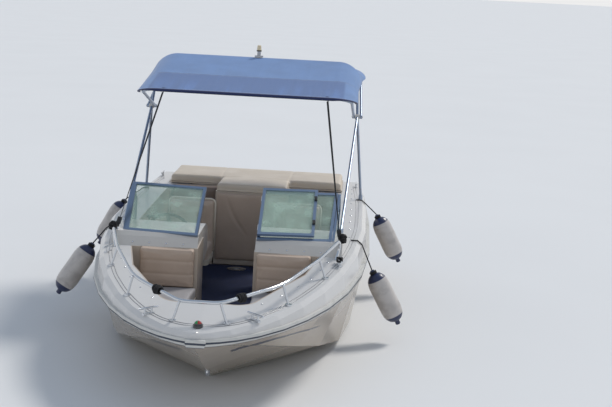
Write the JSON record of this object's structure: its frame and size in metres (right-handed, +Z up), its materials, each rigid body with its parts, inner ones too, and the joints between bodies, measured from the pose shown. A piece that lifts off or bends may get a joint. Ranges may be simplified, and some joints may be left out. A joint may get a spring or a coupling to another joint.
{
  "type": "speedboat",
  "caption": "Open-bow runabout afloat: cockpit with framed windscreen and door, folding canopy, engine hood with sunpad, steered and trimmed stern drive.",
  "frame": {"origin": "on the centreline at the waterline, about amidships", "axes": "+X to port, +Y aft (the bow points to -Y), +Z up"},
  "size_m": [2.9853, 5.372, 3.0604],
  "materials": {
    "gelcoat_white": "moulded gelcoat, white to cream",
    "liner_cream": "cream moulded gelcoat inside",
    "rub_rail_rubber": "white vinyl rub rail with a grey insert",
    "navy_carpet": "short navy carpet",
    "upholstery_tan": "tan vinyl with white piping",
    "upholstery_cream": "cream vinyl",
    "upholstery_grey": "pale grey vinyl",
    "seat_plastic": "moulded seat shell",
    "stainless": "polished stainless steel",
    "seat_post_metal": "satin aluminium",
    "screen_frame": "anodised aluminium, blue grey",
    "screen_glass": "pale green tempered glass",
    "black_plastic": "black plastic",
    "wheel_rim": "soft black grip",
    "canvas_blue": "blue acrylic canvas",
    "webbing_black": "black webbing",
    "white_nylon": "white nylon",
    "light_base": "grey plastic",
    "light_lens": "clear lens",
    "drive_paint": "dark grey enamel",
    "engine_paint": "painted iron block",
    "fender_vinyl": "white inflated vinyl with navy ends",
    "rope_black": "black polyester rope"
  },
  "bodies": {
    "boat": {"aft_benches": "liner_cream", "aft_bolsters": "upholstery_tan", "aft_cushions": "upholstery_tan", "bow_backrests": "upholstery_tan", "bow_cushions": "upholstery_grey", "bow_light": "light_lens", "bow_rail": "stainless", "canopy_bow_main": "stainless", "canopy_canvas_front": "canvas_blue", "canopy_canvas_rear": "canvas_blue", "canopy_knuckles": "white_nylon", "canopy_legs": "stainless", "canopy_light": "light_base", "canopy_light_lens": "light_lens", "canopy_straps": "webbing_black", "carpet": "navy_carpet", "cleats": "stainless", "cockpit_liner": "liner_cream", "console_port": "liner_cream", "console_starboard": "liner_cream", "deck": "gelcoat_white", "door_hinges": "stainless", "engine": "engine_paint", "fender_ropes": "rope_black", "fenders": "fender_vinyl", "hood_hinge": "stainless", "hull": "gelcoat_white", "rub_rail": "rub_rail_rubber", "seat_pedestals": "seat_post_metal", "steering_column": "black_plastic", "stem_eye": "stainless", "strap_eyes": "stainless", "stringers": "liner_cream", "swim_platform": "gelcoat_white", "table_socket": "stainless", "throttle": "black_plastic", "transom_bracket": "drive_paint", "windscreen_frames": "screen_frame", "windscreen_panes": "screen_glass", "wing_frames": "screen_frame", "wing_panes": "screen_glass"},
    "windscreen_door": {"door_frame": "screen_frame", "door_pane": "screen_glass", "door_latches": "black_plastic"},
    "steering_wheel": {"steering_wheel": "wheel_rim"},
    "helm_seat": {"helm_seat_shell": "seat_plastic", "helm_seat_cushions": "upholstery_tan"},
    "passenger_seat": {"passenger_seat_shell": "seat_plastic", "passenger_seat_cushions": "upholstery_tan"},
    "engine_hood": {"engine_hood": "liner_cream", "sunpad": "upholstery_cream", "hood_panel": "upholstery_tan"},
    "canopy_front": {"canopy_bow_front": "stainless"},
    "canopy_rear": {"canopy_bow_rear": "stainless"},
    "drive_steered": {"gimbal_ring": "drive_paint"},
    "drive_trimmed": {"drive_leg": "drive_paint"},
    "trim_barrels": {"trim_barrels": "drive_paint"},
    "trim_rods": {"trim_rods": "stainless"},
    "propeller": {"propeller": "stainless"}
  },
  "joints": [
    {"name": "windscreen_door_hinge", "type": "hinge", "parent": "boat", "child": "windscreen_door", "pos_m": [0.23196, -0.91345, 0.92044], "axis": [0, 0.8307, 0.5567], "range_deg": [-176, 0]},
    {"name": "drive_steering", "type": "hinge", "parent": "boat", "child": "drive_steered", "pos_m": [0, 2.345, 0], "axis": [0, 0, 1], "range_deg": [-30, 30]},
    {"name": "steering_wheel_turn", "type": "hinge", "parent": "boat", "child": "steering_wheel", "pos_m": [-0.56, -0.265, 0.8], "axis": [0, 0.8829, 0.4695], "range_deg": [-541, 541]},
    {"name": "drive_trim", "type": "hinge", "parent": "drive_steered", "child": "drive_trimmed", "pos_m": [0, 2.42, 0.1], "axis": [1, 0, 0], "range_deg": [0, 45]},
    {"name": "trim_barrel_swing", "type": "hinge", "parent": "drive_steered", "child": "trim_barrels", "pos_m": [0, 2.395, -0.15], "axis": [1, 0, 0], "range_deg": [0, 13.6]},
    {"name": "trim_rod_stroke", "type": "slide", "parent": "trim_barrels", "child": "trim_rods", "axis": [0, 0.7855, 0.6189], "range_m": [0, 0.128]},
    {"name": "propeller_spin", "type": "hinge", "parent": "drive_trimmed", "child": "propeller", "pos_m": [0, 2.742, -0.56], "axis": [0, 1, 0], "continuous": true},
    {"name": "helm_seat_swivel", "type": "hinge", "parent": "boat", "child": "helm_seat", "pos_m": [-0.48, 0.29, 0.44], "axis": [0, 0, 1], "range_deg": [-180, 180]},
    {"name": "passenger_seat_swivel", "type": "hinge", "parent": "boat", "child": "passenger_seat", "pos_m": [0.48, 0.29, 0.44], "axis": [0, 0, 1], "range_deg": [-180, 180]},
    {"name": "engine_hood_lift", "type": "hinge", "parent": "boat", "child": "engine_hood", "pos_m": [0, 2.1373, 0.8946], "axis": [-1, 0, 0], "range_deg": [0, 50]},
    {"name": "canopy_rear_fold", "type": "hinge", "parent": "boat", "child": "canopy_rear", "pos_m": [0, 1, 1.7], "axis": [1, 0, 0], "range_deg": [0, 33], "deforming": ["canopy_canvas_rear"]},
    {"name": "canopy_front_fold", "type": "hinge", "parent": "boat", "child": "canopy_front", "pos_m": [0, 1, 1.7], "axis": [-1, 0, 0], "range_deg": [0, 96.5], "deforming": ["canopy_canvas_front", "canopy_straps"]}
  ],
  "couplings": [
    {"joint": "steering_wheel_turn", "follows": "drive_steering", "ratio": -18},
    {"joint": "trim_barrel_swing", "follows": "drive_trim", "ratio": 0.299},
    {"joint": "trim_rod_stroke", "follows": "drive_trim", "m_per_rad": 0.1612}
  ]
}
